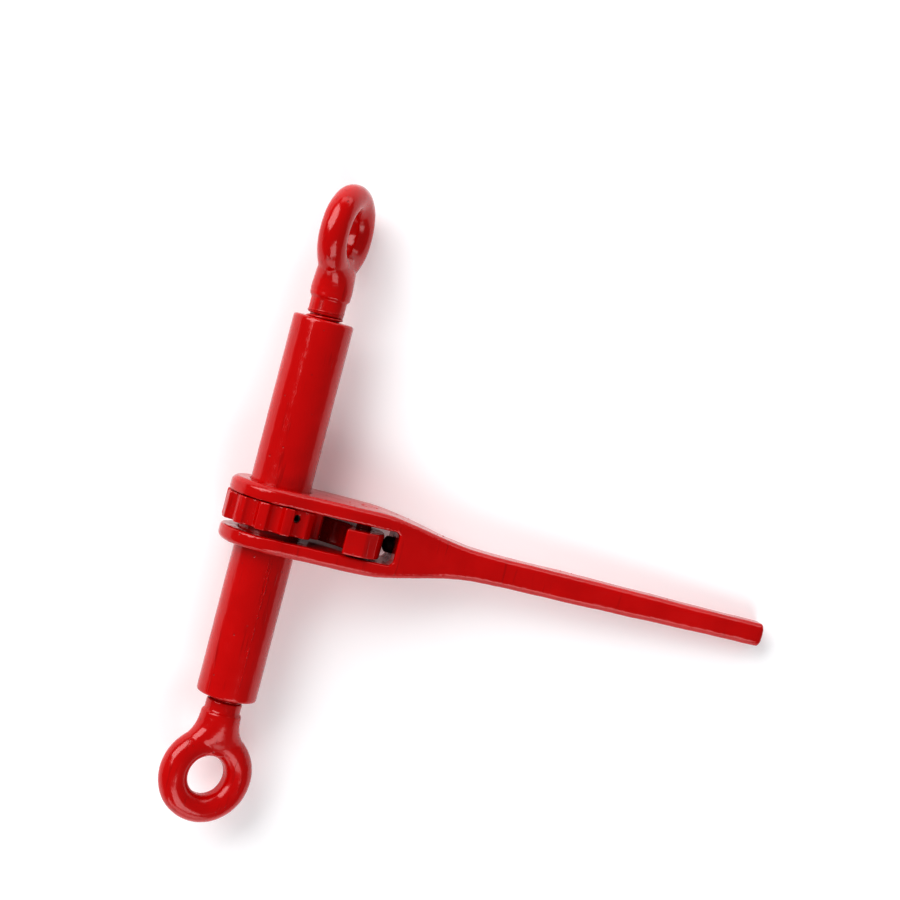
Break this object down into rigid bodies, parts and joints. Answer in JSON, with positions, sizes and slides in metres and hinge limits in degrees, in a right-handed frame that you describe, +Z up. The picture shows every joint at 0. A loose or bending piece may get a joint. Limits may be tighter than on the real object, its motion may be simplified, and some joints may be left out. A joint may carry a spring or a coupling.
{
  "type": "ratchet load binder",
  "caption": "Ratchet load binder with a threaded barrel, a long forged handle that swings round a toothed wheel, a two-way pawl and an eye bolt at each end.",
  "frame": {"origin": "centre of the bounding box in plan, at the floor the binder lies on", "axes": "+Y along the barrel towards the upper (left-hand thread) eye, +X along the handle towards its tip, +Z up, away from the floor"},
  "size_m": [0.3746, 0.4294, 0.0651],
  "materials": {
    "red_enamel": "thick glossy red enamel over forged and machined steel, with runs and a slightly uneven surface",
    "dark_spring_steel": "dark oiled spring steel"
  },
  "bodies": {
    "barrel": {"barrel": "red_enamel", "ratchet_gear": "red_enamel", "gear_roll_pins": "dark_spring_steel"},
    "handle": {"handle": "red_enamel", "pawl_pin": "red_enamel", "detent_spring": "dark_spring_steel"},
    "pawl": {"pawl": "red_enamel"},
    "detent": {"detent_plunger": "dark_spring_steel"},
    "upper_stop": {"upper_stop_ring": "dark_spring_steel"},
    "upper_eye_bolt": {"upper_eye_bolt": "red_enamel"},
    "lower_stop": {"lower_stop_ring": "dark_spring_steel"},
    "lower_eye_bolt": {"lower_eye_bolt": "red_enamel"}
  },
  "joints": [
    {"name": "handle_swing", "type": "hinge", "parent": "barrel", "child": "handle", "pos_m": [-0.15484, -0.0067, 0.03262], "axis": [0, 1, 0], "continuous": true},
    {"name": "pawl_rock", "type": "hinge", "parent": "handle", "child": "pawl", "pos_m": [-0.09498, -0.008, 0.02845], "axis": [0, -1, 0], "range_deg": [0, 34.5]},
    {"name": "detent_plunge", "type": "slide", "parent": "handle", "child": "detent", "axis": [0.9976, 0, -0.0694], "range_m": [0, 0.003], "stiffness_N_per_m": 2500, "deforming": ["detent_spring"]},
    {"name": "upper_screw_travel", "type": "slide", "parent": "barrel", "child": "upper_stop", "axis": [0, 1, 0], "range_m": [-0.0024, 0.08]},
    {"name": "upper_screw_turn", "type": "hinge", "parent": "upper_stop", "child": "upper_eye_bolt", "pos_m": [-0.15484, 0.1825, 0.03262], "axis": [0, -1, 0], "range_deg": [-216, 7200]},
    {"name": "lower_screw_travel", "type": "slide", "parent": "barrel", "child": "lower_stop", "axis": [0, -1, 0], "range_m": [-0.0024, 0.08]},
    {"name": "lower_screw_turn", "type": "hinge", "parent": "lower_stop", "child": "lower_eye_bolt", "pos_m": [-0.15484, -0.1825, 0.03262], "axis": [0, -1, 0], "range_deg": [-216, 7200]}
  ],
  "couplings": [
    {"joint": "upper_screw_travel", "follows": "upper_screw_turn", "m_per_rad": 0.00063662},
    {"joint": "lower_screw_travel", "follows": "lower_screw_turn", "m_per_rad": 0.00063662}
  ]
}
